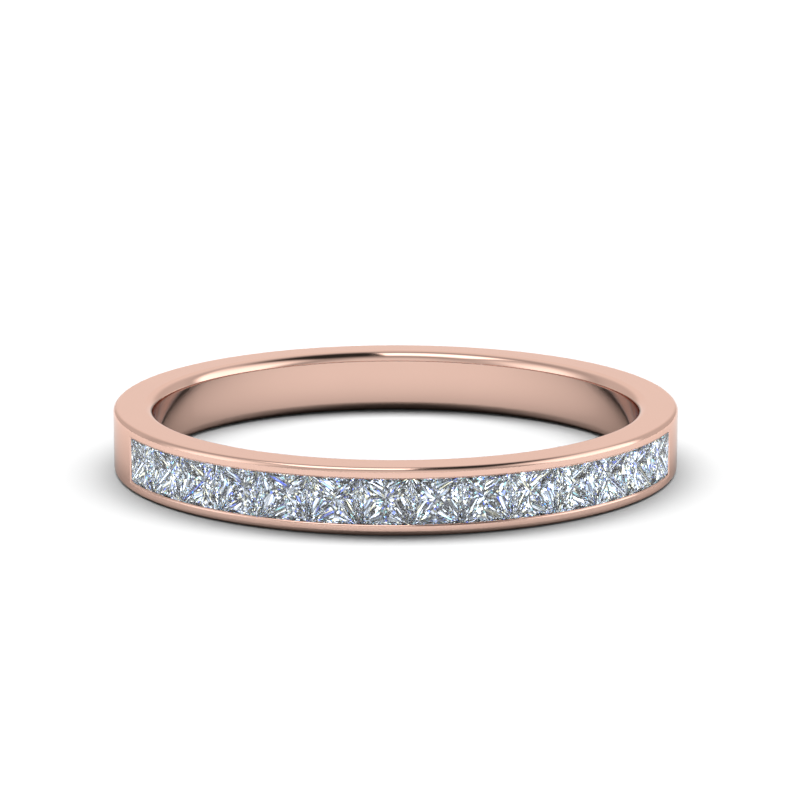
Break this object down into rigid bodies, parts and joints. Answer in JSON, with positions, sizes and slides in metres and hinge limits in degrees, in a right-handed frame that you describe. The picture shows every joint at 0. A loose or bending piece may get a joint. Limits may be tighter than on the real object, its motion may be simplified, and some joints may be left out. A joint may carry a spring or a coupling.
{
  "type": "wedding band",
  "caption": "Rose gold wedding band with a flat outside and a row of square princess-cut diamonds held edge to edge in a channel along its front half.",
  "frame": {"origin": "on the finger axis, in the plane of the flat face that the ring lies on", "axes": "+Z along the finger axis, away from the surface it lies on; -Y from the axis through the middle of the row of stones; +X to the right seen from that side"},
  "size_m": [0.0202, 0.0202, 0.0023],
  "materials": {
    "rose_gold": "mirror-polished 14 carat rose gold with faint wear scratches",
    "diamond": "colourless faceted diamond"
  },
  "bodies": {
    "root": {"band": "rose_gold", "diamond_01": "diamond", "diamond_02": "diamond", "diamond_03": "diamond", "diamond_04": "diamond", "diamond_05": "diamond", "diamond_06": "diamond", "diamond_07": "diamond", "diamond_08": "diamond", "diamond_09": "diamond", "diamond_10": "diamond", "diamond_11": "diamond", "diamond_12": "diamond", "diamond_13": "diamond", "diamond_14": "diamond"}
  },
  "joints": []
}
